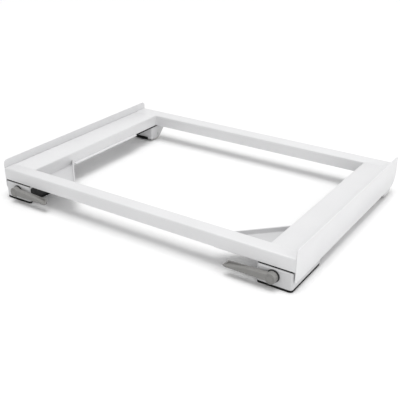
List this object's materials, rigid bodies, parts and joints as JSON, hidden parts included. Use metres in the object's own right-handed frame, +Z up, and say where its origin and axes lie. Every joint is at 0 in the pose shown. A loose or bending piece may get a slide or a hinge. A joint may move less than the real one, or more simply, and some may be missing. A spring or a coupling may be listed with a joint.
{
  "type": "washing machine roller base",
  "caption": "Low folded-sheet frame with side lips that a washing machine stands in, on corner rollers, with foot levers that press rubber soles to the floor.",
  "frame": {"origin": "middle of the footprint at floor level, with the levers and soles in the locked position of the picture", "axes": "+X to the right seen from the levers, +Y from the levers to the back, +Z up"},
  "size_m": [0.61, 0.4434, 0.073],
  "materials": {
    "painted_steel": "white semi-gloss powder coat",
    "zinc_steel": "bright zinc plate",
    "grey_nylon": "moulded grey nylon, lightly textured",
    "black_nylon": "moulded black nylon",
    "black_rubber": "dull moulded rubber",
    "pale_nylon": "natural white nylon"
  },
  "bodies": {
    "frame": {"front_rail": "painted_steel", "rear_rail": "painted_steel", "left_side_channel": "painted_steel", "left_side_plate": "painted_steel", "left_front_gusset": "painted_steel", "left_rear_mounting_plate": "painted_steel", "left_front_foot_box": "painted_steel", "left_rear_bracket": "painted_steel", "left_rear_edge_trim": "black_rubber", "left_bearing_bracket": "zinc_steel", "left_shaft_bush": "black_nylon", "left_front_axle": "zinc_steel", "left_front_inner_spacer": "black_nylon", "left_front_outer_spacer": "black_nylon", "left_rear_axle": "zinc_steel", "left_rear_spacer": "black_nylon", "left_front_bolt_1": "zinc_steel", "left_front_bolt_2": "zinc_steel", "left_front_bolt_3": "zinc_steel", "right_side_channel": "painted_steel", "right_side_plate": "painted_steel", "right_front_gusset": "painted_steel", "right_rear_mounting_plate": "painted_steel", "right_front_foot_box": "painted_steel", "right_rear_bracket": "painted_steel", "right_rear_edge_trim": "black_rubber", "right_bearing_bracket": "zinc_steel", "right_shaft_bush": "black_nylon", "right_front_axle": "zinc_steel", "right_front_inner_spacer": "black_nylon", "right_front_outer_spacer": "black_nylon", "right_rear_axle": "zinc_steel", "right_rear_spacer": "black_nylon", "right_front_bolt_1": "zinc_steel", "right_front_bolt_2": "zinc_steel", "right_front_bolt_3": "zinc_steel"},
    "left_foot_lever": {"left_lever": "grey_nylon", "left_lever_cap": "grey_nylon", "left_lever_screw": "zinc_steel", "left_cam_shaft": "zinc_steel", "left_shaft_clip": "zinc_steel"},
    "right_foot_lever": {"right_lever": "grey_nylon", "right_lever_cap": "grey_nylon", "right_lever_screw": "zinc_steel", "right_cam_shaft": "zinc_steel", "right_shaft_clip": "zinc_steel"},
    "left_sole": {"left_sole_carrier": "black_nylon", "left_rubber_sole": "black_rubber"},
    "right_sole": {"right_sole_carrier": "black_nylon", "right_rubber_sole": "black_rubber"},
    "left_front_inner_wheel": {"left_front_inner_roller": "pale_nylon"},
    "left_front_outer_wheel": {"left_front_outer_roller": "pale_nylon"},
    "left_rear_inner_wheel": {"left_rear_inner_roller": "pale_nylon"},
    "left_rear_outer_wheel": {"left_rear_outer_roller": "pale_nylon"},
    "right_front_inner_wheel": {"right_front_inner_roller": "pale_nylon"},
    "right_front_outer_wheel": {"right_front_outer_roller": "pale_nylon"},
    "right_rear_inner_wheel": {"right_rear_inner_roller": "pale_nylon"},
    "right_rear_outer_wheel": {"right_rear_outer_roller": "pale_nylon"}
  },
  "joints": [
    {"name": "left_lever_turn", "type": "hinge", "parent": "frame", "child": "left_foot_lever", "pos_m": [-0.27, -0.2093, 0.0205], "axis": [0, -1, 0], "range_deg": [0, 90]},
    {"name": "right_lever_turn", "type": "hinge", "parent": "frame", "child": "right_foot_lever", "pos_m": [0.27, -0.2093, 0.0205], "axis": [0, 1, 0], "range_deg": [0, 90]},
    {"name": "left_sole_lift", "type": "slide", "parent": "frame", "child": "left_sole", "axis": [0, 0, 1], "range_m": [0, 0.003]},
    {"name": "right_sole_lift", "type": "slide", "parent": "frame", "child": "right_sole", "axis": [0, 0, 1], "range_m": [0, 0.003]},
    {"name": "left_front_inner_roll", "type": "hinge", "parent": "frame", "child": "left_front_inner_wheel", "pos_m": [-0.26195, -0.1413, 0.013], "axis": [1, 0, 0], "continuous": true},
    {"name": "left_front_outer_roll", "type": "hinge", "parent": "frame", "child": "left_front_outer_wheel", "pos_m": [-0.28065, -0.1413, 0.013], "axis": [1, 0, 0], "continuous": true},
    {"name": "left_rear_inner_roll", "type": "hinge", "parent": "frame", "child": "left_rear_inner_wheel", "pos_m": [-0.26005, 0.1977, 0.013], "axis": [1, 0, 0], "continuous": true},
    {"name": "left_rear_outer_roll", "type": "hinge", "parent": "frame", "child": "left_rear_outer_wheel", "pos_m": [-0.29025, 0.1977, 0.013], "axis": [1, 0, 0], "continuous": true},
    {"name": "right_front_inner_roll", "type": "hinge", "parent": "frame", "child": "right_front_inner_wheel", "pos_m": [0.26195, -0.1413, 0.013], "axis": [1, 0, 0], "continuous": true},
    {"name": "right_front_outer_roll", "type": "hinge", "parent": "frame", "child": "right_front_outer_wheel", "pos_m": [0.28065, -0.1413, 0.013], "axis": [1, 0, 0], "continuous": true},
    {"name": "right_rear_inner_roll", "type": "hinge", "parent": "frame", "child": "right_rear_inner_wheel", "pos_m": [0.26005, 0.1977, 0.013], "axis": [1, 0, 0], "continuous": true},
    {"name": "right_rear_outer_roll", "type": "hinge", "parent": "frame", "child": "right_rear_outer_wheel", "pos_m": [0.29025, 0.1977, 0.013], "axis": [1, 0, 0], "continuous": true}
  ],
  "couplings": [
    {"joint": "left_sole_lift", "follows": "left_lever_turn", "m_per_rad": 0.0019099},
    {"joint": "right_sole_lift", "follows": "right_lever_turn", "m_per_rad": 0.0019099}
  ]
}
